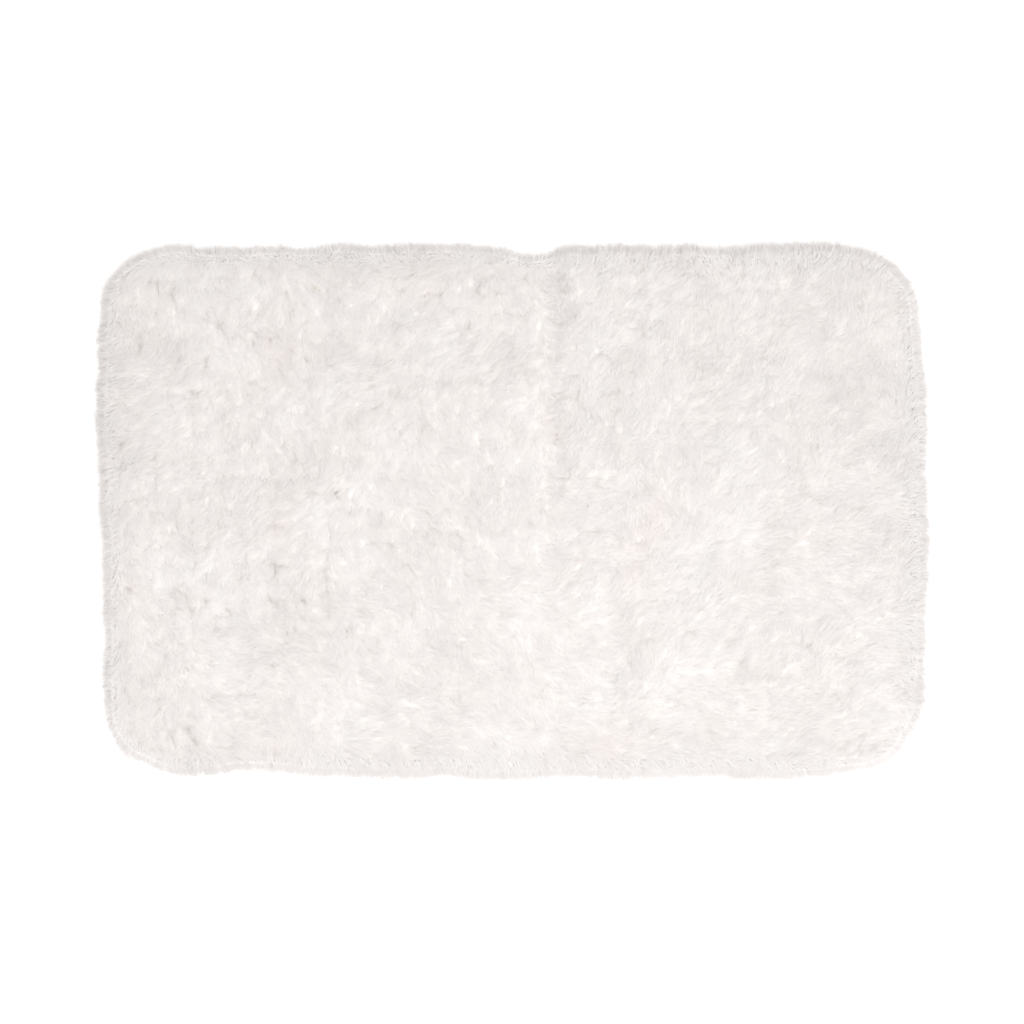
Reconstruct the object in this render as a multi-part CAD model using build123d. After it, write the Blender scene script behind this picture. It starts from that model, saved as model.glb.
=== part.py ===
from build123d import *
import os

# A plush bath mat, lying flat. Millimetres, +X along the long side, +Y along the short side, +Z up.
# The origin is the middle of the footprint, on the floor.

# Bound mat: the layers with their tape, without the pile that leans out past them
mat_length = 800
mat_width = 500
corner_radius = 50

# Layers, from the floor up
strip_height = 1.4
nonslip_cloth_thickness = 1.0
latex_thickness = 0.8
tufting_cloth_thickness = 0.6

# Tape folded round the cut edge of the layers
tape_thickness = 0.5
tape_leg_width = 11
tape_edge_radius = 0.3

# Stitches through the tape's two legs, as they lie under the mat
stitch_thickness = 0.4
stitch_width = 0.9
stitch_length = 4.4
stitch_pitch = 6.0
stitch_from_leg_edge = 2.5

# Rubber grip strips across the nonslip cloth
strip_width = 9
strip_pitch = 50
strip_edge_radius = 0.6
strip_gap_at_binding = 8

# Pile
pile_height = 26
pile_lean_out = 20
pile_above_floor = 1.5
pile_gap_at_binding = 1.0
pile_top_rounding_share = 0.6
pile_bottom_rounding_share = 0.25

# Care label, a strip folded once, stitched down by its open end
label_length = 40
label_width = 30
label_ply = 0.3
label_fold_rounding_share = 0.9  # of one ply
label_from_binding = 3
label_after_strip = 6
label_stitch_from_end = 3
label_stitch_length = 2.6
label_stitch_pitch = 4.2
label_stitch_side_margin = 2.5

# Heights that follow from the layers
nonslip_bottom = strip_height
latex_bottom = nonslip_bottom + nonslip_cloth_thickness
tufting_bottom = latex_bottom + latex_thickness
layers_top = tufting_bottom + tufting_cloth_thickness
layers_height = layers_top - nonslip_bottom
tape_bottom = nonslip_bottom - tape_thickness
tape_top = layers_top + tape_thickness
pile_top = layers_top + pile_height


def rounded_sheet(inset, bottom, thickness):
    """A flat sheet with the mat's rounded outline, drawn in by inset or, below zero, let out."""
    outline = RectangleRounded(mat_length - 2 * inset, mat_width - 2 * inset, corner_radius - inset)
    return Pos(0, 0, bottom) * extrude(outline, amount=thickness)


def edges_at_height(solid, height):
    return solid.edges().filter_by_position(Axis.Z, height, height)


def make_pile():
    """One soft slab for all the tufts: rooted inside the tape, over it, and down round the bound edge."""
    height = pile_top - pile_above_floor
    slab = rounded_sheet(-pile_lean_out, pile_above_floor, height)
    slab = fillet(edges_at_height(slab, pile_top), pile_top_rounding_share * height)
    slab = fillet(edges_at_height(slab, pile_above_floor), pile_bottom_rounding_share * height)
    bound_mat_room = rounded_sheet(-pile_gap_at_binding, 0, tape_top)
    roots = rounded_sheet(tape_leg_width + pile_gap_at_binding, layers_top, tape_thickness)
    return slab - bound_mat_room + roots


def make_binding():
    """A tape of C section, right round the mat."""
    tape = rounded_sheet(0, tape_bottom, tape_top - tape_bottom)
    outer_edges = edges_at_height(tape, tape_top) + edges_at_height(tape, tape_bottom)
    tape = fillet(outer_edges, tape_edge_radius)
    layers_room = rounded_sheet(tape_thickness, nonslip_bottom, layers_height)
    window = rounded_sheet(tape_leg_width, 0, 2 * tape_top)
    return tape - layers_room - window


def make_stitch(length):
    """One stitch lying along +X, flat on the tape or label above it, with rounded ends."""
    outline = SlotOverall(length, stitch_width)
    return extrude(outline, amount=stitch_thickness)


def make_binding_stitches():
    """One closed row of stitches round the tape's lower leg, evenly spaced at about the stitch pitch."""
    inset = tape_leg_width - stitch_from_leg_edge
    row = RectangleRounded(mat_length - 2 * inset, mat_width - 2 * inset, corner_radius - inset).wire()
    count = round(row.length / stitch_pitch)
    stitch = Pos(0, 0, tape_bottom - stitch_thickness) * make_stitch(stitch_length)
    stitches = []
    for number in range(count):
        place = row.position_at(number / count)
        direction = row.tangent_at(number / count)
        turn = Vector(1, 0, 0).get_signed_angle(direction, Vector(0, 0, 1))
        stitches.append(Pos(place.X, place.Y, 0) * Rot(0, 0, turn) * stitch)
    return Compound(children=stitches)


# The label lies along Y midway between two strips, its open end by the front binding
label_y_start = -mat_width / 2 + tape_leg_width + label_from_binding
label_x_centre = (label_after_strip + 0.5) * strip_pitch
label_thickness = 2 * label_ply
label_bottom = nonslip_bottom - label_thickness


def make_label():
    """Two plies lying together, with the fold rounded at the far end."""
    blank = Box(label_width, label_length, label_thickness, align=(Align.CENTER, Align.MIN, Align.MIN))
    fold_edges = blank.edges().filter_by(Axis.X).group_by(Axis.Y)[-1]
    label = fillet(fold_edges, label_fold_rounding_share * label_ply)
    return Pos(label_x_centre, label_y_start, label_bottom) * label


def make_label_stitches():
    run = label_width - 2 * label_stitch_side_margin - label_stitch_length
    gaps = int(run / label_stitch_pitch)
    stitch = make_stitch(label_stitch_length)
    y = label_y_start + label_stitch_from_end
    stitches = []
    for number in range(gaps + 1):
        x = label_x_centre + (number - gaps / 2) * label_stitch_pitch
        stitches.append(Pos(x, y, label_bottom - stitch_thickness) * stitch)
    return Compound(children=stitches)


def make_grip_strips():
    """Strips along Y with rounded ends, one of them on the centre line, the last before the corners turn."""
    corner_start = mat_length / 2 - corner_radius
    strip_length = mat_width - 2 * (tape_leg_width + strip_gap_at_binding)
    outline = SlotOverall(strip_length, strip_width, rotation=90)
    strip = extrude(outline, amount=strip_height)
    strip = fillet(edges_at_height(strip, 0), strip_edge_radius)
    reach = int(corner_start / strip_pitch)
    return Compound(children=[Pos(n * strip_pitch, 0, 0) * strip for n in range(-reach, reach + 1)])


parts = {
    "pile_tufts": make_pile(),
    "tufting_cloth": rounded_sheet(tape_thickness, tufting_bottom, tufting_cloth_thickness),
    "tuft_lock_latex": rounded_sheet(tape_thickness, latex_bottom, latex_thickness),
    "nonslip_cloth": rounded_sheet(tape_thickness, nonslip_bottom, nonslip_cloth_thickness),
    "grip_strips": make_grip_strips(),
    "edge_binding": make_binding(),
    "binding_stitches": make_binding_stitches(),
    "care_label": make_label(),
    "label_stitches": make_label_stitches(),
}

os.makedirs("parts", exist_ok=True)
for name, part in parts.items():
    export_step(part, f"parts/{name}.step")
    print(name, part.bounding_box().size)
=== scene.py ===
import bpy
import bmesh
import math
import numpy as np
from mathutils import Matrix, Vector


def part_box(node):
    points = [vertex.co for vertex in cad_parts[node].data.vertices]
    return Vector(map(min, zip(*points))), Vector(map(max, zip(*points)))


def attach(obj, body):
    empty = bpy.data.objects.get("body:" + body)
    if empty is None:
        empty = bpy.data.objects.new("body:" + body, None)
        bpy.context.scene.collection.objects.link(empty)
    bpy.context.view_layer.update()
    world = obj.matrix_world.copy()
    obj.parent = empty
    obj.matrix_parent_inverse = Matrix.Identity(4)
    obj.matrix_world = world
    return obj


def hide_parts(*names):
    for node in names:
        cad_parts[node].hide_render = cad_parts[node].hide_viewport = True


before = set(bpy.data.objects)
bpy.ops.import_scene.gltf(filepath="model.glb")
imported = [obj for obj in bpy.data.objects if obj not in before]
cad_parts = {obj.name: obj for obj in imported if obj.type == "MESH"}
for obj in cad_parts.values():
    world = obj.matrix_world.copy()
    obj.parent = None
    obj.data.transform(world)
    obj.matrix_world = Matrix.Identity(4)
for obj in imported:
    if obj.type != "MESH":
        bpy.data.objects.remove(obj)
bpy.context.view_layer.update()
print("mat: frame loaded,", len(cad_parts), "nodes")

mm = 0.001
tapeLow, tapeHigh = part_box("edge_binding")
pileLow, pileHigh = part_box("pile_tufts")
halfLength = tapeHigh.x
halfWidth = tapeHigh.y


def linkPiece(name, mesh):
    piece = bpy.data.objects.new(name, mesh)
    bpy.context.scene.collection.objects.link(piece)
    return piece


def meshFrom(name, body):
    mesh = bpy.data.meshes.new(name)
    body.to_mesh(mesh)
    body.free()
    return mesh


def bakeModifiers(piece):
    graph = bpy.context.evaluated_depsgraph_get()
    done = bpy.data.meshes.new_from_object(piece.evaluated_get(graph))
    piece.modifiers.clear()
    old = piece.data
    piece.data = done
    bpy.data.meshes.remove(old)
    done.name = piece.name


def readPoints(mesh):
    flat = np.empty(len(mesh.vertices) * 3, np.float32)
    mesh.vertices.foreach_get("co", flat)
    return flat.reshape(-1, 3).astype(float)


def writePoints(mesh, points):
    mesh.vertices.foreach_set("co", points.astype(np.float32).ravel())
    mesh.update()


def softNoise(x, y, cell, seed):
    # smooth hills and dips from -1 to 1, one about every cell
    hills = np.random.default_rng(seed).uniform(-1, 1, (128, 128))
    u, v = x / cell + 64, y / cell + 64
    i, j = np.floor(u).astype(int), np.floor(v).astype(int)
    fu, fv = u - i, v - j
    fu, fv = fu * fu * (3 - 2 * fu), fv * fv * (3 - 2 * fv)
    near = hills[i % 128, j % 128] * (1 - fu) + hills[(i + 1) % 128, j % 128] * fu
    far = hills[i % 128, (j + 1) % 128] * (1 - fu) + hills[(i + 1) % 128, (j + 1) % 128] * fu
    return near * (1 - fv) + far * fv


def nearestTuft(x, y, spacing, seed):
    # the closest of a loose grid of tufts: its middle, the gap to it, how far off the next one
    # begins, and its own mood from 0 to 1
    rng = np.random.default_rng(seed)
    jitter = rng.uniform(0.08, 0.92, (256, 256, 2))
    mood = rng.uniform(0, 1, (256, 256))
    i0, j0 = np.floor(x / spacing).astype(int), np.floor(y / spacing).astype(int)
    best, second = np.full(x.shape, 1e9), np.full(x.shape, 1e9)
    cx, cy, temper = np.zeros(x.shape), np.zeros(x.shape), np.zeros(x.shape)
    for di in (-1, 0, 1):
        for dj in (-1, 0, 1):
            i, j = i0 + di, j0 + dj
            px = (i + jitter[i % 256, j % 256, 0]) * spacing
            py = (j + jitter[i % 256, j % 256, 1]) * spacing
            gap = np.hypot(px - x, py - y)
            closer = gap < best
            second = np.where(closer, best, np.minimum(second, gap))
            best = np.where(closer, gap, best)
            cx, cy = np.where(closer, px, cx), np.where(closer, py, cy)
            temper = np.where(closer, mood[i % 256, j % 256], temper)
    return cx, cy, best, (second - best) / 2, temper


def smoothStep(low, high, value):
    t = np.clip((value - low) / (high - low), 0, 1)
    return t * t * (3 - 2 * t)


# how the pile lies, shared by the bed and the fibres

pileLie = {
    "coreInset": 15 * mm,          # pile stands straight inside this line
    "coreCorner": 36 * mm,
    "creaseX": 39 * mm,            # packing fold across the mat
    "creaseWidth": 11 * mm,
    "dentX": -82 * mm,
    "dentY": -130 * mm,
    "foldShare": 0.35,             # the fold is this deep at the front, whole at the back
    "dentDepth": 0.6,
    "dentWidth": 12 * mm,
    "dentLength": 55 * mm,
    "edgeWave": 0.09,
    "edgeRipple": 0.05,
    "notchX": 22 * mm,             # nick in the back edge
    "notchWidth": 24 * mm,
    "notchCut": 0.26,
    "backRightCut": 0.34,          # how far each corner is drawn in
    "frontRightCut": 0.3,
    "frontLeftCut": 0.12,
    "backLeftCut": 0.08,
    "frontCut": 0.2,
    "leftComb": math.radians(-110),
    "leftTurn": math.radians(70),
    "rightComb": math.radians(62),
    "rightTurn": math.radians(50),
}


def coreOffset(x, y):
    # vector from the core's outline to the point, zero inside it
    lie = pileLie
    hx = halfLength - lie["coreInset"] - lie["coreCorner"]
    hy = halfWidth - lie["coreInset"] - lie["coreCorner"]
    qx, qy = np.abs(x) - hx, np.abs(y) - hy
    px, py = np.maximum(qx, 0), np.maximum(qy, 0)
    reach = np.hypot(px, py)
    beyond = np.maximum(reach - lie["coreCorner"], 0)
    safe = np.maximum(reach, 1e-9)
    return np.sign(x) * px / safe * beyond, np.sign(y) * py / safe * beyond


def edgeShare(x, y):
    # how far the pile reaches beyond the core here, 1 is the full lean
    lie = pileLie
    share = 1 + lie["edgeWave"] * softNoise(x, y, 34 * mm, 5)
    share = share + lie["edgeRipple"] * softNoise(x, y, 12 * mm, 6)
    right = smoothStep(300 * mm, 385 * mm, x)
    left = smoothStep(-330 * mm, -385 * mm, x)
    back = smoothStep(110 * mm, 230 * mm, y)
    front = smoothStep(-150 * mm, -235 * mm, y)
    share = share - lie["backRightCut"] * right * back - lie["frontRightCut"] * right * front
    share = share - lie["frontLeftCut"] * left * front - lie["backLeftCut"] * left * back
    backHalf = smoothStep(-40 * mm, 60 * mm, y)
    notch = np.exp(-((x - lie["notchX"]) / lie["notchWidth"]) ** 2) * backHalf
    frontLeft = smoothStep(-120 * mm, -220 * mm, x) * (1 - backHalf)
    return share - lie["notchCut"] * notch - lie["frontCut"] * frontLeft


def creaseDepth(x, y):
    # 0 to 1, deepest along the packing fold and in the dent beside it
    lie = pileLie
    wander = 8 * mm * softNoise(x * 0, y, 45 * mm, 11) + 2 * mm * softNoise(x, y, 26 * mm, 12)
    foldX = lie["creaseX"] + wander
    along = lie["foldShare"] + (1 - lie["foldShare"]) * smoothStep(-90 * mm, -10 * mm, y)
    fold = along * np.exp(-((x - foldX) / lie["creaseWidth"]) ** 2)
    dentAcross = ((x - lie["dentX"]) / lie["dentWidth"]) ** 2
    dentAlong = ((y - lie["dentY"]) / lie["dentLength"]) ** 2
    return fold + lie["dentDepth"] * np.exp(-dentAcross - dentAlong)


def combDirection(x, y):
    # flat direction in which the pile is combed, as an angle from +X
    lie = pileLie
    turn = 1.1 * softNoise(x, y, 70 * mm, 31) + 0.7 * softNoise(x, y, 24 * mm, 32)
    right = smoothStep(-16 * mm, 16 * mm, x - lie["creaseX"])
    front = smoothStep(30 * mm, -110 * mm, y)
    leftWay = lie["leftComb"] + front * lie["leftTurn"]
    rightWay = lie["rightComb"] - front * lie["rightTurn"]
    return leftWay * (1 - right) + rightWay * right + turn


tufts = {
    "large": 17 * mm,
    "small": 8.5 * mm,
    "largeRise": 1.2 * mm,
    "smallRise": 0.5 * mm,
    "tilt": 0.06,                 # tufts rise towards their tips and drop behind them
    "waver": 2.2 * mm,
    "creaseDrop": 3.2 * mm,
    "hollowWidth": 0.5 * mm,      # the few places where two tufts part and show their depth
    "shadeWidth": 2.0 * mm,       # softer dip all along the line between two tufts
    "shadeShare": 0.1,
    "hollowDrop": 1.4 * mm,
    "swell": 1.4 * mm,            # wide low hills under the tufts
}


def livelyShare(x, y):
    # the tufts are loosest at the back left and lie smoothest at the front right
    return 0.5 + 0.5 * smoothStep(150 * mm, -250 * mm, x - 1.2 * y)


def waveredSpot(x, y):
    wide = tufts["waver"]
    return x + wide * softNoise(x, y, 9 * mm, 51), y + wide * softNoise(x, y, 9 * mm, 52)


def hollowDepth(x, y):
    # 1 in the middle of a parting between two large tufts, a soft dip along the other lines; the
    # fibres also take it as painted shade in their colour
    loose = livelyShare(x, y) + 0.5 * creaseDepth(x, y)
    wx, wy = waveredSpot(x, y)
    border = nearestTuft(wx, wy, tufts["large"], 21)[3]
    parted = smoothStep(0.4, 0.85, softNoise(x, y, 11 * mm, 61)) * loose
    dip = smoothStep(-0.5, 0.5, softNoise(x, y, 19 * mm, 62)) * loose * tufts["shadeShare"]
    parting = np.exp(-(border / tufts["hollowWidth"]) ** 2) * np.clip(parted, 0, 1)
    return parting + np.exp(-(border / tufts["shadeWidth"]) ** 2) * dip


def tuftRelief(x, y):
    # the lumpy top of the pile, as a height over its mean
    lively = livelyShare(x, y)
    wx, wy = waveredSpot(x, y)
    height = 0
    for kind, seed in (("large", 21), ("small", 22)):
        spacing, rise = tufts[kind], tufts[kind + "Rise"]
        cx, cy, gap, _, mood = nearestTuft(wx, wy, spacing, seed)
        dome = 1 - np.clip(gap / (0.72 * spacing), 0, 1.3) ** 2
        lean = combDirection(cx, cy) + 1.6 * (mood - 0.5)
        tilt = tufts["tilt"] * ((wx - cx) * np.cos(lean) + (wy - cy) * np.sin(lean))
        height = height + lively * (rise * (0.75 * dome + 0.6 * (mood - 0.5)) + tilt)
    height = height - tufts["creaseDrop"] * creaseDepth(x, y) - tufts["hollowDrop"] * hollowDepth(x, y)
    return height + tufts["swell"] * softNoise(x, y, 48 * mm, 23)


# the pile's bed: dense lower pile that carries the loose fibre ends

bed = {
    "voxel": 3.8 * mm,
    "sideShare": 0.74,
    "topShare": 0.76,
    "underFibres": 3.8 * mm,      # the bed stays this far under the fibres' roots
    "creaseRoom": 1.5 * mm,       # and this much further along the fold
    "tapeRoom": 1 * mm,
    "tapeGap": 0.1 * mm,
}


def makePileBed():
    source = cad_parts["pile_tufts"]
    body = bmesh.new()
    body.from_mesh(source.data)
    bmesh.ops.remove_doubles(body, verts=body.verts, dist=0.01 * mm)
    bmesh.ops.recalc_face_normals(body, faces=body.faces)
    piece = linkPiece("pile_bed", meshFrom("pile_bed", body))
    remesh = piece.modifiers.new("evenMesh", "REMESH")
    remesh.mode = "VOXEL"
    remesh.voxel_size = bed["voxel"]
    remesh.use_smooth_shade = True
    bakeModifiers(piece)
    points = readPoints(piece.data)
    x, y, z = points.T
    ox, oy = coreOffset(x, y)
    share = bed["sideShare"] * edgeShare(x, y) - 1
    x, y = x + ox * share, y + oy * share
    z = pileLow.z + (z - pileLow.z) * bed["topShare"]
    upper = smoothStep(10 * mm, 18 * mm, z)
    z = z + upper * (tuftRelief(x, y) - bed["creaseRoom"] * creaseDepth(x, y))
    # it sits on the taped edge and hangs past it
    overTape = (np.abs(x) < halfLength + bed["tapeRoom"]) & (np.abs(y) < halfWidth + bed["tapeRoom"])
    z = np.where(overTape, np.maximum(z, tapeHigh.z + bed["tapeGap"]), z)
    writePoints(piece.data, np.stack([x, y, z], 1))
    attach(piece, "root")
    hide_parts("pile_tufts")
    print("mat: pile bed,", len(piece.data.polygons), "faces")
    return piece


# plush fibres: loose ends of the tufts, planted on the bed

plush = {
    "count": 310000,
    "quickCount": 120000,
    "strips": 10,                 # pieces, side by side along X
    "width": 0.46 * mm,
    "length": 9 * mm,
    "edgeLength": 17 * mm,        # the last fibres on top, which hang out over the wall
    "wallLength": 6 * mm,
    "tallest": 11 * mm,           # longer fibres rise no more than this one
    "wispSpacing": 2.8 * mm,
    "wispPull": 0.2,              # how far the ends of a wisp gather
    "rimWispPull": 0.65,          # and how much further round the rim
    "tuftPull": 0.1,
    "tuftTurn": 0.9,              # turns away from the comb: tuft by tuft,
    "wispTurn": 0.4,              # wisp by wisp
    "fibreTurn": 0.25,            # and fibre by fibre
    "stand": 0.16,                # how upright the fibre ends are, 1 is straight up
    "rimStand": 0.2,
    "partingStand": 0.3,
    "rimComb": 0.45,              # how much of the comb the rim's fibres keep
    "rimStray": 0.4,
    "wallDroop": 0.9,
    "browDroop": 0.15,
    "rimHug": 0.6,                # how much the rim's fibres may leave the bed's slope
    "browDensity": 0.9,           # extra fibres along the rim's upper edge
    "wallThinning": 0.45,         # and fewer on the wall below it
    "softNormal": 0.96,           # share of the bed's own slope in a fibre's shading
    "rimSoftNormal": 0.88,
    "edgeLift": 0.9,              # how much the edge's fibres share the top's light
    "roll": 0.5,
    "lowest": 0.6 * mm,
    "seed": 40,
}


def makeBlade():
    # one tapering fibre end, three segments long, laid along Y
    blade = bmesh.new()
    bmesh.ops.create_grid(blade, x_segments=1, y_segments=3, size=0.5)
    blade.verts.ensure_lookup_table()
    tip = sorted(blade.verts, key=lambda v: v.co.y)[-2:]
    bmesh.ops.pointmerge(blade, verts=tip, merge_co=(tip[0].co + tip[1].co) / 2)
    blade.verts.sort(key=lambda v: 10 * round(v.co.y, 3) + v.co.x)
    return meshFrom("blade", blade)


def findRoots(piece, count, rng):
    mesh = piece.data
    mesh.calc_loop_triangles()
    points = readPoints(mesh)
    normals = np.empty(len(mesh.vertices) * 3, np.float32)
    mesh.vertices.foreach_get("normal", normals)
    normals = normals.reshape(-1, 3).astype(float)
    corners = np.empty(len(mesh.loop_triangles) * 3, np.int32)
    mesh.loop_triangles.foreach_get("vertices", corners)
    corners = corners.reshape(-1, 3)
    a, b, c = (points[corners[:, k]] for k in range(3))
    area = np.linalg.norm(np.cross(b - a, c - a), axis=1)
    facing = normals[corners].mean(1)[:, 2]
    area = np.where(facing > -0.55, area, 0)
    middle = points[corners].mean(1)
    away = np.hypot(*coreOffset(middle[:, 0], middle[:, 1]))
    rim = smoothStep(6 * mm, 18 * mm, away / edgeShare(middle[:, 0], middle[:, 1]))
    brow = smoothStep(0.1, 0.45, facing)
    area = area * (1 + rim * (plush["browDensity"] * brow - plush["wallThinning"] * (1 - brow)))
    chosen = rng.choice(len(area), count, p=area / area.sum())
    u, v = rng.random(count), rng.random(count)
    flip = u + v > 1
    u, v = np.where(flip, 1 - u, u), np.where(flip, 1 - v, v)
    weight = np.stack([1 - u - v, u, v], 1)[:, :, None]
    roots = (points[corners[chosen]] * weight).sum(1)
    up = (normals[corners[chosen]] * weight).sum(1)
    up = up / np.linalg.norm(up, axis=1)[:, None]
    order = np.argsort(roots[:, 0], kind="stable")
    roots, up = roots[order], up[order]
    # the bed's mesh is coarser than the tufts, so the roots take the fine slope of the relief itself
    x, y = roots[:, 0], roots[:, 1]
    step = 0.8 * mm
    relief = tuftRelief(x, y)
    slopeX = (tuftRelief(x + step, y) - tuftRelief(x - step, y)) / (2 * step)
    slopeY = (tuftRelief(x, y + step) - tuftRelief(x, y - step)) / (2 * step)
    top = smoothStep(0.75, 0.95, up[:, 2])
    level = pileLow.z + (pileHigh.z - pileLow.z) * bed["topShare"]
    roots = roots + up * bed["underFibres"]
    roots[:, 2] = roots[:, 2] * (1 - top) + (level + relief + bed["underFibres"]) * top
    fine = np.stack([-slopeX, -slopeY, np.ones(len(x))], 1)
    fine = fine / np.linalg.norm(fine, axis=1)[:, None]
    up = up * (1 - top)[:, None] + fine * top[:, None]
    up = up / np.linalg.norm(up, axis=1)[:, None]
    return roots, up


def combFibres(roots, up, rng):
    # the way each fibre runs, how far it counts as the rim's, its length and how upright it stands
    n = len(roots)
    x, y = roots[:, 0], roots[:, 1]
    ox, oy = coreOffset(x, y)
    away = np.hypot(ox, oy)
    out = away / edgeShare(x, y)
    edge = smoothStep(7 * mm, 24 * mm, out + 4 * mm * softNoise(x, y, 15 * mm, 43))
    wx, wy, _, _, wispMood = nearestTuft(x, y, plush["wispSpacing"], 41)
    tx, ty, _, _, tuftMood = nearestTuft(wx, wy, tufts["small"], 22)
    angle = combDirection(tx, ty) + plush["tuftTurn"] * (tuftMood - 0.5)
    angle = angle + plush["wispTurn"] * (wispMood - 0.5) + rng.normal(0, plush["fibreTurn"], n)
    comb = np.stack([np.cos(angle), np.sin(angle), np.zeros(n)], 1)
    # the top's last fibres hang out over the shorter ones on the wall
    brow = smoothStep(0.05, 0.6, up[:, 2])
    droop = plush["wallDroop"] + (plush["browDroop"] - plush["wallDroop"]) * brow
    outward = np.stack([ox, oy, -droop * away], 1) / np.maximum(away, 1e-9)[:, None]
    outward = outward + plush["rimComb"] * comb + rng.normal(0, plush["rimStray"], (n, 3))
    outward[:, 2] = np.minimum(outward[:, 2], 0)
    comb = comb * (1 - edge)[:, None] + outward * edge[:, None]
    # where the pile parts to go both ways it stands up instead
    sure = np.clip(np.linalg.norm(comb, axis=1), 0, 1)
    comb = comb - up * ((comb * up).sum(1) * (1 - plush["rimHug"] * edge))[:, None]
    comb = comb / np.maximum(np.linalg.norm(comb, axis=1), 1e-9)[:, None]
    length = plush["length"] * rng.uniform(0.7, 1.15, n) * (0.8 + 0.4 * tuftMood)
    reach = plush["wallLength"] + (plush["edgeLength"] - plush["wallLength"]) * brow
    reach = reach * (0.65 + 0.4 * wispMood + 0.2 * tuftMood)
    length = length * (1 - edge) + reach * rng.uniform(0.6, 1.1, n) * edge
    stand = plush["stand"] * (0.7 + 0.7 * tuftMood) + rng.normal(0, 0.05, n)
    stand = stand * (1 - edge) + plush["rimStand"] * edge + plush["partingStand"] * (1 - sure)
    # sideways pull towards the middle of the wisp and of the tuft
    across = np.cross(up, comb)
    toWisp = np.stack([wx - x, wy - y, np.zeros(n)], 1)
    toTuft = np.stack([tx - x, ty - y, np.zeros(n)], 1)
    toWisp = across * (toWisp * across).sum(1)[:, None]
    toTuft = across * (toTuft * across).sum(1)[:, None]
    pull = toWisp * (plush["wispPull"] + plush["rimWispPull"] * edge)[:, None]
    pull = pull + toTuft * (plush["tuftPull"] * (1 - edge))[:, None]
    # how far a fibre counts as the rim's: it lifts the fibre's normal and picks the darker,
    # painted-shade rim finish
    lifted = smoothStep(-6 * mm, 14 * mm, out)
    return comb, sure, length, stand, pull, edge, lifted


def shapeFibres(roots, up, rng):
    # stations along each fibre, bent over from the bed's normal into the way it is combed
    comb, sure, length, stand, pull, edge, lifted = combFibres(roots, up, rng)
    stations, paintedShade = [], []
    for t in (0.0, 0.38, 0.72, 1.0):
        rise = np.minimum(length, plush["tallest"]) * stand * (1.5 * t - 0.75 * t * t)
        run = length * (0.4 + 0.6 * sure) * (0.45 * t + 0.5 * t * t)
        spot = roots + up * rise[:, None] + comb * run[:, None] + pull * t
        # the parting drops the fibre's end and also sets the painted shade in its colour
        parted = hollowDepth(spot[:, 0], spot[:, 1]) * (1 - edge)
        spot[:, 2] = spot[:, 2] - tufts["hollowDrop"] * t * parted
        stations.append(spot)
        paintedShade.append(parted)
    return stations, paintedShade, lifted


def addPlanMap(mesh, points):
    # every fibre takes its place in the plan view as its map, so that neighbours share their tone
    plan = mesh.uv_layers.new(name="OFBake")
    corners = np.empty(len(mesh.loops), np.int32)
    mesh.loops.foreach_get("vertex_index", corners)
    low, high = points.min(0)[:2], points.max(0)[:2]
    spots = (points[corners, :2] - low) / (high - low)
    plan.data.foreach_set("uv", spots.astype(np.float32).ravel())


def unit(vectors):
    return vectors / np.maximum(np.linalg.norm(vectors, axis=1), 1e-9)[:, None]


def repeatShape(piece, name, count):
    # all copies start in one place and are moved to their own afterwards
    rows = piece.modifiers.new(name, "ARRAY")
    rows.count = count
    rows.use_relative_offset = False
    rows.use_constant_offset = True
    rows.constant_offset_displace = (0, 0, 0)
    bakeModifiers(piece)


def storePoints(mesh, name, kind, values):
    layer = mesh.attributes.new(name, kind, "POINT")
    key = "vector" if kind == "FLOAT_VECTOR" else "value"
    layer.data.foreach_set(key, values.astype(np.float32).ravel())


def plantStrip(number, roots, up, blade, rng, pileFinishes):
    n = len(roots)
    piece = linkPiece(f"plush_{number:02d}", blade.copy())
    repeatShape(piece, "manyBlades", n)
    stations, paintedShade, lifted = shapeFibres(roots, up, rng)
    along = stations[3] - stations[0]
    # round the rim the fibres face up like the top's, so that they share its light
    facing = up * (1 - plush["edgeLift"] * lifted)[:, None]
    facing[:, 2] = facing[:, 2] + plush["edgeLift"] * lifted
    facing = unit(facing)
    side = unit(np.cross(along, facing))
    lift = unit(np.cross(side, along))
    roll = rng.normal(0, plush["roll"], n)[:, None]
    side = side * np.cos(roll) + lift * np.sin(roll)
    half = plush["width"] / 2 * rng.uniform(0.6, 1.3, n)[:, None]
    points = np.empty((n, 7, 3))
    for k, wide in enumerate((1.0, 0.95, 0.7)):
        points[:, 2 * k] = stations[k] - side * half * wide
        points[:, 2 * k + 1] = stations[k] + side * half * wide
    points[:, 6] = stations[3]
    points[:, :, 2] = np.maximum(points[:, :, 2], plush["lowest"])
    writePoints(piece.data, points.reshape(-1, 3))
    addPlanMap(piece.data, points.reshape(-1, 3))
    # painted shade for the partings between tufts, read by the fibres' colour
    storePoints(piece.data, "paintedShade", "FLOAT", np.stack([paintedShade[k] for k in (0, 0, 1, 1, 2, 2, 3)], 1))
    storePoints(piece.data, "strand", "FLOAT", np.repeat(rng.random(n), 7))
    # light falls on the pile as one soft surface, so a blade's own slope counts for little
    face = unit(np.cross(along, side))
    face = face * np.sign((face * facing).sum(1))[:, None]
    share = plush["softNormal"] + (plush["rimSoftNormal"] - plush["softNormal"]) * lifted[:, None]
    soft = unit(facing * share + face * (1 - share))
    piece.data.shade_smooth()
    piece.data.normals_split_custom_set_from_vertices(np.repeat(soft, 7, axis=0).tolist())
    # the rim's fibres take the second finish, a darker copy that paints shade on the rim, mixed in
    # fibre by fibre
    isRim = np.repeat(lifted > rng.random(n), 3)
    piece.data.materials.clear()
    for finish in pileFinishes:
        piece.data.materials.append(finish)
    piece.data.polygons.foreach_set("material_index", isRim.astype(np.int32))
    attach(piece, "root")
    return piece


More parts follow.
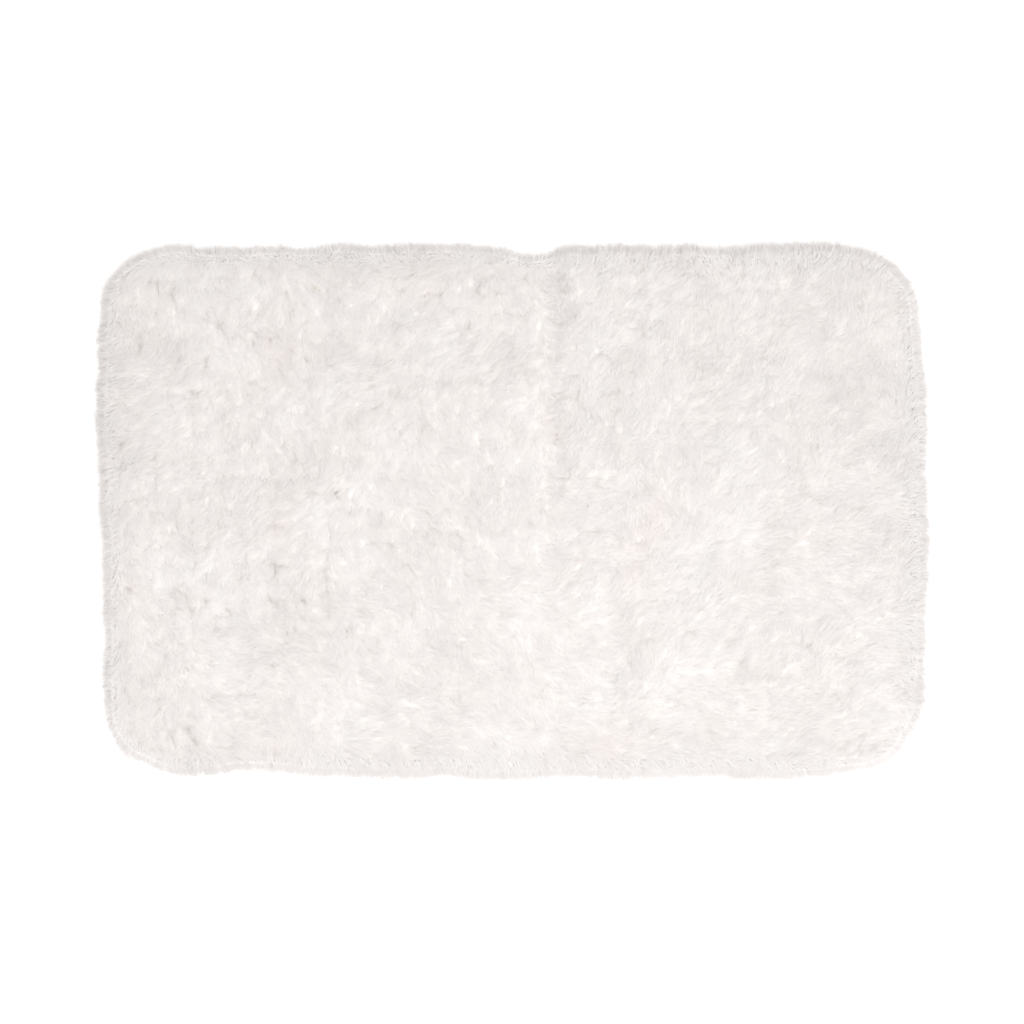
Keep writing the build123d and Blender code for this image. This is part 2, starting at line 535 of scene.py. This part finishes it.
def makePlush(bedPiece, pileFinishes):
    rng = np.random.default_rng(plush["seed"])
    count = plush["count"]
    roots, up = findRoots(bedPiece, count, rng)
    blade = makeBlade()
    pieces = []
    for number, members in enumerate(np.array_split(np.arange(count), plush["strips"])):
        pieces.append(plantStrip(number + 1, roots[members], up[members], blade, rng, pileFinishes))
    bpy.data.meshes.remove(blade)
    print("mat: plush,", count, "fibres in", len(pieces), "strips")
    return pieces


# materials

def newMaterial(name, roughness, specular=0.2):
    material = bpy.data.materials.new(name)
    material.use_nodes = True
    tree = material.node_tree
    shader = tree.nodes["Principled BSDF"]
    shader.inputs["Roughness"].default_value = roughness
    shader.inputs["Specular IOR Level"].default_value = specular
    return material, tree, shader


def socketGroup(name, inputs, outputs):
    # an empty node group with named sockets
    group = bpy.data.node_groups.new(name, "ShaderNodeTree")
    for label, kind, value in inputs:
        socket = group.interface.new_socket(name=label, in_out="INPUT", socket_type=kind)
        if value is not None:
            socket.default_value = value
    for label, kind in outputs:
        group.interface.new_socket(name=label, in_out="OUTPUT", socket_type=kind)
    return group, group.nodes.new("NodeGroupInput").outputs, group.nodes.new("NodeGroupOutput").inputs


def feed(tree, socket, value):
    # value is another node's socket, or a plain number or colour
    if isinstance(value, bpy.types.NodeSocket):
        tree.links.new(value, socket)
    elif value is not None:
        socket.default_value = value


def addNode(tree, kind, output, values):
    # a node with its inputs fed by name
    node = tree.nodes.new(kind)
    for name, value in values.items():
        feed(tree, node.inputs[name], value)
    return node.outputs[output]


def addMath(tree, operation, first, second=None):
    node = tree.nodes.new("ShaderNodeMath")
    node.operation = operation
    feed(tree, node.inputs[0], first)
    feed(tree, node.inputs[1], second)
    return node.outputs["Value"]


def addRange(tree, value, low, high, toLow=0, toHigh=1):
    return addNode(tree, "ShaderNodeMapRange", "Result", {
        "Value": value, "From Min": low, "From Max": high, "To Min": toLow, "To Max": toHigh})


def addNoise(tree, place, scale, detail, distortion=0):
    return addNode(tree, "ShaderNodeTexNoise", "Fac", {
        "Vector": place, "Scale": scale, "Detail": detail, "Distortion": distortion})


def addMix(tree, factor, first, second):
    node = tree.nodes.new("ShaderNodeMix")
    node.data_type = "RGBA"
    for name, value in (("Factor", factor), ("A", first), ("B", second)):
        feed(tree, node.inputs[name], value)
    return node.outputs["Result"]


def addGroup(tree, group, output, values):
    node = tree.nodes.new("ShaderNodeGroup")
    node.node_tree = group
    for name, value in values.items():
        feed(tree, node.inputs[name], value)
    return node.outputs[output], node


def readAttribute(tree, name, output="Fac"):
    reader = tree.nodes.new("ShaderNodeAttribute")
    reader.attribute_name = name
    return reader.outputs[output]


def makeFibreTone():
    # soft drifts of tone over the pile, painted shade where it parts, a little change fibre by fibre
    group, given, result = socketGroup("fibreTone", (
        ("Vector", "NodeSocketVector", None),
        ("Low Tone", "NodeSocketColor", (0.948, 0.931, 0.924, 1)),
        ("High Tone", "NodeSocketColor", (0.971, 0.957, 0.952, 1)),
        ("Blush", "NodeSocketColor", (0.965, 0.938, 0.93, 1)),
        ("Shade Tone", "NodeSocketColor", (0.76, 0.71, 0.67, 1)),
        ("Painted Shade", "NodeSocketFloat", 0.0),
        ("Strand", "NodeSocketFloat", 0.5),
    ), (("Color", "NodeSocketColor"),))
    place = given["Vector"]
    drift = addRange(group, addNoise(group, place, 14, 3), 0.35, 0.65)
    tone = addMix(group, drift, given["Low Tone"], given["High Tone"])
    warm = addRange(group, addNoise(group, place, 11, 2), 0.56, 0.85)
    tone = addMix(group, warm, tone, given["Blush"])
    vary = addRange(group, given["Strand"], 0, 1, 0.993, 1.006)
    scaled = group.nodes.new("ShaderNodeVectorMath")
    scaled.operation = "SCALE"
    feed(group, scaled.inputs[0], tone)
    feed(group, scaled.inputs["Scale"], vary)
    # the darker tone mixed in where the pile parts is painted shade of the hollows between tufts
    deep = addMix(group, given["Painted Shade"], scaled.outputs["Vector"], given["Shade Tone"])
    feed(group, result["Color"], deep)
    return group


pileLooks = {
    "whitePlush": {
        "through": 0.5,           # fine fibre lets light through
        "low": (0.948, 0.931, 0.924, 1),
        "high": (0.971, 0.957, 0.952, 1),
        "blush": (0.965, 0.938, 0.93, 1),
    },
    # a darker copy of whitePlush: painted shade that tones down the rim's fibres, which stand out into
    # the key's and the floor's light
    "shadedRimPlush": {
        "through": 0.1,
        "low": (0.875, 0.848, 0.834, 1),
        "high": (0.897, 0.873, 0.86, 1),
        "blush": (0.89, 0.855, 0.842, 1),
    },
    # a darker, warmer copy of the fibres' tone: painted shade for the bed lying under the fibres
    "plushBed": {
        "through": 0,             # less light finds its way down here
        "low": (0.88, 0.85, 0.82, 1),
        "high": (0.90, 0.875, 0.85, 1),
        "blush": (0.90, 0.85, 0.83, 1),
    },
}


def plushMaterial(name, tone):
    look = pileLooks[name]
    material, tree, shader = newMaterial(name, 0.95)
    values = {
        "Vector": addNode(tree, "ShaderNodeTexCoord", "Object", {}),
        "Low Tone": look["low"], "High Tone": look["high"], "Blush": look["blush"],
    }
    if look["through"]:
        # the painted shade of the partings, and the fibre-by-fibre change of tone
        values["Painted Shade"] = readAttribute(tree, "paintedShade")
        values["Strand"] = readAttribute(tree, "strand")
    colour = addGroup(tree, tone, "Color", values)[0]
    feed(tree, shader.inputs["Base Color"], colour)
    shader.inputs["Sheen Weight"].default_value = 0.1
    shader.inputs["Sheen Roughness"].default_value = 0.6
    if look["through"]:
        through = addNode(tree, "ShaderNodeBsdfTranslucent", "BSDF", {"Color": colour})
        blend = tree.nodes.new("ShaderNodeMixShader")
        blend.inputs["Fac"].default_value = look["through"]
        tree.links.new(shader.outputs["BSDF"], blend.inputs[1])
        tree.links.new(through, blend.inputs[2])
        tree.links.new(blend.outputs["Shader"], tree.nodes["Material Output"].inputs["Surface"])
    return material


def makeWeaveGrain():
    # plain weave: threads over and under each other, with slubs
    group, given, result = socketGroup("weaveGrain", (
        ("Vector", "NodeSocketVector", None),
        ("Warp Per Metre", "NodeSocketFloat", 1000.0),
        ("Weft Per Metre", "NodeSocketFloat", 1000.0),
        ("Slub", "NodeSocketFloat", 0.3),
    ), (("Height", "NodeSocketFloat"), ("Mask", "NodeSocketFloat")))
    place = given["Vector"]
    waves = []
    for axis, count in (("X", "Warp Per Metre"), ("Y", "Weft Per Metre")):
        along = addNode(group, "ShaderNodeSeparateXYZ", axis, {"Vector": place})
        turns = addMath(group, "MULTIPLY", along, given[count])
        waves.append(addMath(group, "SINE", addMath(group, "MULTIPLY", turns, math.pi)))
    crossed = addMath(group, "ABSOLUTE", addMath(group, "MULTIPLY", waves[0], waves[1]))
    slubs = addMath(group, "MULTIPLY", addNoise(group, place, 260, 2), given["Slub"])
    raised = addMath(group, "ADD", crossed, slubs)
    feed(group, result["Height"], raised)
    feed(group, result["Mask"], addRange(group, raised, 0, 1))
    return group


def makeMattedGrain():
    # fine matted or moulded grain: short hairs lying every way, and needle or mould pits
    group, given, result = socketGroup("mattedGrain", (
        ("Vector", "NodeSocketVector", None),
        ("Hair Scale", "NodeSocketFloat", 900.0),
        ("Pit Scale", "NodeSocketFloat", 350.0),
        ("Pit Share", "NodeSocketFloat", 0.4),
    ), (("Height", "NodeSocketFloat"), ("Mask", "NodeSocketFloat")))
    place = given["Vector"]
    hairs = addNoise(group, place, given["Hair Scale"], 4, 1.6)
    spots = {"Vector": place, "Scale": given["Pit Scale"]}
    pits = addRange(group, addNode(group, "ShaderNodeTexVoronoi", "Distance", spots), 0, 0.45)
    height = addMath(group, "ADD", hairs, addMath(group, "MULTIPLY", pits, given["Pit Share"]))
    feed(group, result["Height"], height)
    feed(group, result["Mask"], addRange(group, height, 0.35, 1.1))
    return group


def makeSoiling():
    # uneven tone over a hand's breadth: wear, dye and dust
    group, given, result = socketGroup("unevenTone", (
        ("Vector", "NodeSocketVector", None),
        ("Color", "NodeSocketColor", (0.8, 0.8, 0.8, 1)),
        ("Worn Color", "NodeSocketColor", (0.7, 0.7, 0.7, 1)),
        ("Scale", "NodeSocketFloat", 18.0),
        ("Amount", "NodeSocketFloat", 0.5),
    ), (("Color", "NodeSocketColor"),))
    cloud = addRange(group, addNoise(group, given["Vector"], given["Scale"], 5), 0.38, 0.72)
    amount = addMath(group, "MULTIPLY", cloud, given["Amount"])
    feed(group, result["Color"], addMix(group, amount, given["Color"], given["Worn Color"]))
    return group


finishes = {
    "tapeWeave": {
        "grain": "weave", "values": {"Warp Per Metre": 1400, "Weft Per Metre": 1100, "Slub": 0.4},
        "high": (0.80, 0.785, 0.76, 1), "low": (0.60, 0.585, 0.56, 1), "worn": (0.70, 0.68, 0.64, 1),
        "roughness": (0.62, 0.8), "bump": 0.00012, "sheen": 0.15, "lie": True,
    },
    "needleFelt": {
        "grain": "matted", "values": {"Hair Scale": 700, "Pit Scale": 420, "Pit Share": 0.35},
        "high": (0.72, 0.71, 0.69, 1), "low": (0.56, 0.55, 0.53, 1), "worn": (0.62, 0.60, 0.57, 1),
        "roughness": (0.88, 0.98), "bump": 0.00025, "sheen": 0.25, "lie": False,
    },
    "latexFilm": {
        "grain": "matted", "values": {"Hair Scale": 160, "Pit Scale": 240, "Pit Share": 0.8},
        "high": (0.78, 0.72, 0.58, 1), "low": (0.66, 0.59, 0.44, 1), "worn": (0.60, 0.52, 0.36, 1),
        "roughness": (0.42, 0.6), "bump": 0.0003, "sheen": 0.0, "lie": False,
    },
    "gripRubber": {
        "grain": "matted", "values": {"Hair Scale": 1300, "Pit Scale": 900, "Pit Share": 0.5},
        "high": (0.60, 0.60, 0.60, 1), "low": (0.50, 0.50, 0.51, 1), "worn": (0.42, 0.42, 0.42, 1),
        "roughness": (0.5, 0.68), "bump": 0.00008, "sheen": 0.0, "lie": False,
    },
    "tuftingWeave": {
        "grain": "weave", "values": {"Warp Per Metre": 900, "Weft Per Metre": 600, "Slub": 0.2},
        "high": (0.76, 0.75, 0.72, 1), "low": (0.52, 0.50, 0.47, 1), "worn": (0.66, 0.64, 0.60, 1),
        "roughness": (0.4, 0.6), "bump": 0.0002, "sheen": 0.0, "lie": False,
    },
    "threadTwist": {
        "grain": "weave", "values": {"Warp Per Metre": 2600, "Weft Per Metre": 1500, "Slub": 0.6},
        "high": (0.86, 0.85, 0.83, 1), "low": (0.66, 0.65, 0.63, 1), "worn": (0.78, 0.76, 0.72, 1),
        "roughness": (0.45, 0.65), "bump": 0.00008, "sheen": 0.1, "lie": True,
    },
    "labelSatin": {
        "grain": "weave", "values": {"Warp Per Metre": 3000, "Weft Per Metre": 700, "Slub": 0.5},
        "high": (0.88, 0.87, 0.85, 1), "low": (0.80, 0.79, 0.77, 1), "worn": (0.82, 0.80, 0.76, 1),
        "roughness": (0.28, 0.42), "bump": 0.00004, "sheen": 0.05, "lie": True,
    },
}


def makeFinish(name, grains, soiling):
    look = finishes[name]
    smooth, rough = look["roughness"]
    material, tree, shader = newMaterial(name, rough, 0.4)
    if look["lie"]:
        place = readAttribute(tree, "lie", "Vector")
    else:
        place = addNode(tree, "ShaderNodeTexCoord", "Object", {})
    values = dict(look["values"])
    values["Vector"] = place
    mask, grain = addGroup(tree, grains[look["grain"]], "Mask", values)
    tone = addMix(tree, mask, look["low"], look["high"])
    values = {"Vector": place, "Color": tone, "Worn Color": look["worn"]}
    feed(tree, shader.inputs["Base Color"], addGroup(tree, soiling, "Color", values)[0])
    feed(tree, shader.inputs["Roughness"], addRange(tree, mask, 0, 1, rough, smooth))
    bump = {"Height": grain.outputs["Height"], "Distance": look["bump"], "Strength": 0.8}
    feed(tree, shader.inputs["Normal"], addNode(tree, "ShaderNodeBump", "Normal", bump))
    shader.inputs["Sheen Weight"].default_value = look["sheen"]
    return material


# cloth layers: the cut sheets that the mat is made up from

outline = {
    "corner": 50 * mm,            # of the bound mat
    "cell": 5 * mm,
    "tapeLeg": 11 * mm,
}


def roundCorners(x, y, halfX, halfY, corner):
    # draws the corners of a rectangle in onto arcs
    px = np.maximum(np.abs(x) - (halfX - corner), 0) / corner
    py = np.maximum(np.abs(y) - (halfY - corner), 0) / corner
    nx = np.minimum(np.abs(x), halfX - corner) + corner * px * np.sqrt(1 - py * py / 2)
    ny = np.minimum(np.abs(y), halfY - corner) + corner * py * np.sqrt(1 - px * px / 2)
    return np.sign(x) * nx, np.sign(y) * ny


def outlineAt(turn, inset):
    # spot and outward direction on the mat's outline, turn runs from 0 to 1 anticlockwise
    r = outline["corner"] - inset
    a, b = halfLength - outline["corner"], halfWidth - outline["corner"]
    quarter = math.pi * r / 2
    half = 2 * a + 2 * b + 2 * quarter
    s = (turn % 1) * 2 * half
    flip = np.where(s >= half, -1, 1)
    s = s % half
    first = np.clip((s - 2 * b) / quarter, 0, 1)
    second = np.clip((s - 2 * b - quarter - 2 * a) / quarter, 0, 1)
    angle = (first + second) * math.pi / 2
    outX, outY = np.cos(angle), np.sin(angle)
    x = a - np.clip(s - 2 * b - quarter, 0, 2 * a) + r * outX
    y = np.clip(s, 0, 2 * b) - b + r * outY
    return x * flip, y * flip, outX * flip, outY * flip, 2 * half


def finishPiece(piece, node, material):
    piece.data.shade_smooth()
    piece.data.materials.clear()
    piece.data.materials.append(material)
    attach(piece, "root")
    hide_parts(node)


def makeClothLayer(name, node, material, relief):
    # relief gives how far the lower face moves down and the upper face up
    low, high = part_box(node)
    cloth = bmesh.new()
    cellsX, cellsY = round(2 * high.x / outline["cell"]), round(2 * high.y / outline["cell"])
    bmesh.ops.create_grid(cloth, x_segments=cellsX, y_segments=cellsY, size=1)
    bmesh.ops.scale(cloth, vec=(high.x, high.y, 1), verts=cloth.verts)
    piece = linkPiece(name, meshFrom(name, cloth))
    wall = piece.modifiers.new("thickness", "SOLIDIFY")
    wall.thickness = high.z - low.z
    wall.offset = 1
    bakeModifiers(piece)
    points = readPoints(piece.data)
    x, y = roundCorners(points[:, 0], points[:, 1], high.x, high.y, outline["corner"])
    down, up = relief(x, y)
    z = np.where(points[:, 2] > (high.z - low.z) / 2, high.z + up, low.z - down)
    writePoints(piece.data, np.stack([x, y, z], 1))
    finishPiece(piece, node, material)
    print("mat:", name, len(piece.data.polygons), "faces")
    return piece


felt = {
    "puff": 0.22 * mm,            # it swells a little between the strips
    "stripReach": 5.5 * mm,
    "labelRoom": 6 * mm,
}


def stripCentres():
    x = np.sort(readPoints(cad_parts["grip_strips"].data)[:, 0])
    starts = np.flatnonzero(np.diff(x) > 10 * mm) + 1
    return np.array([(run[0] + run[-1]) / 2 for run in np.split(x, starts)])


def feltRelief(x, y):
    centres = stripCentres()
    toStrip = np.abs(x[:, None] - centres).min(1)
    puff = smoothStep(felt["stripReach"], 3 * felt["stripReach"], toStrip)
    legX, legY = halfLength - outline["tapeLeg"], halfWidth - outline["tapeLeg"]
    inside = np.minimum(legX - np.abs(x), legY - np.abs(y))
    puff = puff * smoothStep(0, 12 * mm, inside)
    labelLow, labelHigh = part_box("care_label")
    offX = np.maximum(labelLow.x - x, x - labelHigh.x)
    offY = np.maximum(labelLow.y - y, y - labelHigh.y)
    puff = puff * smoothStep(0, felt["labelRoom"], np.maximum(offX, offY))
    uneven = 0.75 + 0.25 * softNoise(x, y, 22 * mm, 71)
    return felt["puff"] * puff * uneven, np.zeros(len(x))


def flatRelief(x, y):
    return np.zeros(len(x)), np.zeros(len(x))


# binding: one tape folded over the layers' cut edge

binding = {
    "thickness": 0.5 * mm,
    "fold": 0.7 * mm,
    "legSteps": 8,
    "ringStep": 2 * mm,
    "stitchPitch": 6 * mm,
    "stitchLength": 4.5 * mm,
    "stitchInset": 8.5 * mm,
    "pull": 0.14 * mm,            # how deep the thread draws the tape in
    "pullWidth": 1.3 * mm,
    "ripple": 0.3 * mm,
}


def tapeSection():
    # the folded tape's middle line: how far in from the edge, and how high
    leg, fold, thick = outline["tapeLeg"], binding["fold"], binding["thickness"]
    bottom, top = tapeLow.z + thick / 2, tapeHigh.z - thick / 2
    inner = np.linspace(leg, thick / 2 + fold, binding["legSteps"])
    turn = np.linspace(math.pi / 8, math.pi / 2, 4)
    bendIn = thick / 2 + fold - fold * np.sin(turn)
    bendUp = fold - fold * np.cos(turn)
    across = np.concatenate([inner, bendIn, bendIn[::-1], inner[::-1]])
    level = np.full(len(inner), 0.0)
    height = np.concatenate([bottom + level, bottom + bendUp, top - bendUp[::-1], top - level])
    return across, height


def makeBinding(material):
    across, height = tapeSection()
    whole = outlineAt(np.zeros(1), 0)[4]
    rings = round(whole / binding["ringStep"])
    tape = bmesh.new()
    line = [tape.verts.new((1 + 0.01 * k, 0, 0)) for k in range(len(across))]
    edges = [tape.edges.new(pair) for pair in zip(line, line[1:])]
    bmesh.ops.spin(tape, geom=line + edges, cent=(0, 0, 0), axis=(0, 0, 1), dvec=(0, 0, 0),
                   angle=2 * math.pi, steps=rings, use_merge=True, use_duplicate=False)
    mesh = meshFrom("edge_tape", tape)
    piece = linkPiece("edge_tape", mesh)
    points = readPoints(mesh)
    turn = np.arctan2(points[:, 1], points[:, 0]) / (2 * math.pi) % 1
    station = np.rint((np.hypot(points[:, 0], points[:, 1]) - 1) / 0.01).astype(int)
    inward, z = across[station], height[station]
    free = smoothStep(0.6, 1.0, inward / outline["tapeLeg"])
    inward = inward + free * binding["ripple"] * softNoise(turn * whole, inward * 0, 14 * mm, 81)
    stitches = round(whole / binding["stitchPitch"])
    drawn = np.exp(-((inward - binding["stitchInset"]) / binding["pullWidth"]) ** 2)
    drawn = drawn * (0.65 - 0.35 * np.cos(2 * math.pi * turn * stitches))
    inner = np.where(z > (tapeLow.z + tapeHigh.z) / 2, -1, 1)
    z = z + inner * binding["pull"] * drawn
    x, y, outX, outY, whole = outlineAt(turn, 0)
    writePoints(mesh, np.stack([x - outX * inward, y - outY * inward, z], 1))
    develop = np.concatenate([[0], np.cumsum(np.hypot(np.diff(across), np.diff(height)))])
    storePoints(mesh, "lie", "FLOAT_VECTOR", np.stack([turn * whole, develop[station], turn * 0], 1))
    wall = piece.modifiers.new("thickness", "SOLIDIFY")
    wall.thickness = binding["thickness"] * 0.96
    wall.offset = 0
    bakeModifiers(piece)
    finishPiece(piece, "edge_binding", material)
    print("mat: edge tape,", len(piece.data.polygons), "faces")
    return piece


# stitches: short arched lengths of two-ply thread, their ends drawn into the cloth

thread = {
    "around": 8,
    "alongSteps": 6,
    "width": 0.85 * mm,
    "depth": 0.42 * mm,
    "arch": 0.16 * mm,
    "twist": 2.5,
    "plyBulge": 0.16,
    "sway": 0.05,
    "sink": 0.12 * mm,            # how deep a stitch lies in the tape
    "labelSink": 0.15 * mm,
}


def makeThreads(name, node, material, spots, ways, length, level):
    # one stitch made from a sphere, repeated, then each one laid on its spot
    count = len(spots)
    bead = bmesh.new()
    bmesh.ops.create_uvsphere(bead, u_segments=thread["around"], v_segments=thread["alongSteps"],
                              radius=0.5)
    piece = linkPiece(name, meshFrom(name, bead))
    shape = readPoints(piece.data)
    repeatShape(piece, "manyStitches", count)
    run = 2 * shape[:, 2]                       # from -1 to 1 along the stitch
    around = np.arctan2(shape[:, 1], shape[:, 0])
    plies = np.cos(2 * around + thread["twist"] * math.pi * run)
    girth = np.hypot(shape[:, 0], shape[:, 1]) * (1 + thread["plyBulge"] * plies)
    across = girth * np.cos(around) * thread["width"]
    high = girth * np.sin(around) * thread["depth"] + thread["arch"] * run * run
    rng = np.random.default_rng(len(name) + count)
    sway = rng.normal(0, thread["sway"], count)
    wayX = ways[:, 0] * np.cos(sway) - ways[:, 1] * np.sin(sway)
    wayY = ways[:, 0] * np.sin(sway) + ways[:, 1] * np.cos(sway)
    lengths = length * rng.uniform(0.95, 1.04, count)
    step = np.outer(lengths / 2, run)
    x = spots[:, 0:1] + step * wayX[:, None] - across * wayY[:, None]
    y = spots[:, 1:2] + step * wayY[:, None] + across * wayX[:, None]
    z = np.broadcast_to(level + high, x.shape)
    writePoints(piece.data, np.stack([x, y, z], 2).reshape(-1, 3))
    flat = np.stack([step, np.broadcast_to(around * thread["width"] / 2, x.shape), 0 * x], 2)
    storePoints(piece.data, "lie", "FLOAT_VECTOR", flat)
    finishPiece(piece, node, material)
    print("mat:", name, count, "stitches")
    return piece


def makeBindingThreads(material):
    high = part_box("binding_stitches")[1]
    whole = outlineAt(np.zeros(1), binding["stitchInset"])[4]
    count = round(whole / binding["stitchPitch"])
    turn = (np.arange(count) + 0.5) / count
    x, y, outX, outY, whole = outlineAt(turn, binding["stitchInset"])
    spots, ways = np.stack([x, y], 1), np.stack([-outY, outX], 1)
    level = high.z - thread["sink"]
    return makeThreads("binding_thread", "binding_stitches", material, spots, ways,
                       binding["stitchLength"], level)


# care label: a blank satin strip folded once, held at its open end

label = {
    "ply": 0.22 * mm,
    "gap": 0.16 * mm,
    "sag": 0.35 * mm,
    "lengthSteps": 64,
    "widthSteps": 20,
    "stitches": 6,
    "stitchInset": 3 * mm,
    "stitchPitch": 4.2 * mm,
    "stitchLength": 2.6 * mm,
}


def makeLabel(material):
    low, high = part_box("care_label")
    reach, half = high.y - low.y, (high.x - low.x) / 2
    strip = bmesh.new()
    bmesh.ops.create_grid(strip, x_segments=label["widthSteps"], y_segments=label["lengthSteps"],
                          size=1)
    mesh = meshFrom("care_label_satin", strip)
    piece = linkPiece("care_label_satin", mesh)
    points = readPoints(mesh)
    w = points[:, 1]
    # flat length from the fold, negative on the lower ply, with more rows near the fold
    s = np.sign(w) * np.abs(w) ** 1.7 * reach
    r = (label["ply"] + label["gap"]) / 2
    bend = np.clip(s / r, -math.pi / 2, math.pi / 2)
    rest = np.abs(s) - np.abs(bend) * r
    y = high.y - r - label["ply"] / 2 + r * np.cos(bend) - rest
    z = high.z - label["ply"] / 2 - r + r * np.sin(bend)
    x = (low.x + high.x) / 2 + points[:, 0] * half
    loose = smoothStep(low.y + 6 * mm, high.y, y)
    wave = 0.6 + 0.4 * softNoise(x, y, 12 * mm, 91)
    z = z - label["sag"] * loose * wave * np.where(s < 0, 1.0, 0.8)
    writePoints(mesh, np.stack([x, y, z], 1))
    storePoints(mesh, "lie", "FLOAT_VECTOR", np.stack([x, s, 0 * s], 1))
    wall = piece.modifiers.new("thickness", "SOLIDIFY")
    wall.thickness = label["ply"]
    wall.offset = 0
    bakeModifiers(piece)
    finishPiece(piece, "care_label", material)
    print("mat: care label")
    return piece


def makeLabelThreads(material):
    low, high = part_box("label_stitches")
    count = label["stitches"]
    middle = (low.x + high.x) / 2
    x = middle + (np.arange(count) - (count - 1) / 2) * label["stitchPitch"]
    spots = np.stack([x, np.full(count, (low.y + high.y) / 2)], 1)
    ways = np.tile([1.0, 0.0], (count, 1))
    level = high.z - thread["labelSink"]
    return makeThreads("label_thread", "label_stitches", material, spots, ways,
                       label["stitchLength"], level)


fibreTone = makeFibreTone()
bedPiece = makePileBed()
bedPiece.data.materials.clear()
bedPiece.data.materials.append(plushMaterial("plushBed", fibreTone))
makePlush(bedPiece, [plushMaterial("whitePlush", fibreTone), plushMaterial("shadedRimPlush", fibreTone)])

grains = {"weave": makeWeaveGrain(), "matted": makeMattedGrain()}
soiling = makeSoiling()
finish = {name: makeFinish(name, grains, soiling) for name in finishes}
makeClothLayer("tufting_backing", "tufting_cloth", finish["tuftingWeave"], flatRelief)
makeClothLayer("felt_backing", "nonslip_cloth", finish["needleFelt"], feltRelief)
makeBinding(finish["tapeWeave"])
makeBindingThreads(finish["threadTwist"])
makeLabel(finish["labelSatin"])
makeLabelThreads(finish["threadTwist"])
for node, name in (("tuft_lock_latex", "latexFilm"), ("grip_strips", "gripRubber")):
    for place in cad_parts[node].material_slots:
        place.material = finish[name]


# room, light and camera

studio = {
    "floorSize": 8.0,
    "floorGlow": 0.38,            # the floor is a light table, so it stays white up to the pile
    "viewWidth": 1.037,
    "cameraHeight": 2.3,
    "worldStrength": 0.65,
    "keyPower": 43.5,
    "keySize": 1.8,
    "keyPlace": (0.35, -0.64, 2.25),
}


def makeStudio():
    body = bmesh.new()
    bmesh.ops.create_grid(body, x_segments=1, y_segments=1, size=studio["floorSize"] / 2)
    mesh = meshFrom("floor", body)
    floor = linkPiece("floor", mesh)
    material, tree, shader = newMaterial("paleFloor", 0.9)
    shader.inputs["Base Color"].default_value = (0.95, 0.95, 0.95, 1)
    shader.inputs["Emission Color"].default_value = (1, 1, 1, 1)
    shader.inputs["Emission Strength"].default_value = studio["floorGlow"]
    mesh.materials.append(material)

    world = bpy.data.worlds.new("softRoom")
    bpy.context.scene.world = world
    world.use_nodes = True
    back = world.node_tree.nodes["Background"]
    back.inputs["Color"].default_value = (1, 1, 1, 1)
    back.inputs["Strength"].default_value = studio["worldStrength"]

    lamp = bpy.data.lights.new("keyLight", "AREA")
    lamp.energy = studio["keyPower"]
    lamp.size = studio["keySize"]
    key = bpy.data.objects.new("keyLight", lamp)
    key.location = studio["keyPlace"]
    key.rotation_euler = Vector(studio["keyPlace"]).to_track_quat("Z", "Y").to_euler()
    bpy.context.scene.collection.objects.link(key)

    lens = bpy.data.cameras.new("camera")
    lens.sensor_width = 36
    lens.lens = 36 * (studio["cameraHeight"] - pileHigh.z / 2) / studio["viewWidth"]
    camera = bpy.data.objects.new("camera", lens)
    camera.location = (0, 0, studio["cameraHeight"])
    bpy.context.scene.collection.objects.link(camera)
    bpy.context.scene.camera = camera
    bpy.context.scene.view_settings.view_transform = "Standard"
    print("mat: studio")


makeStudio()
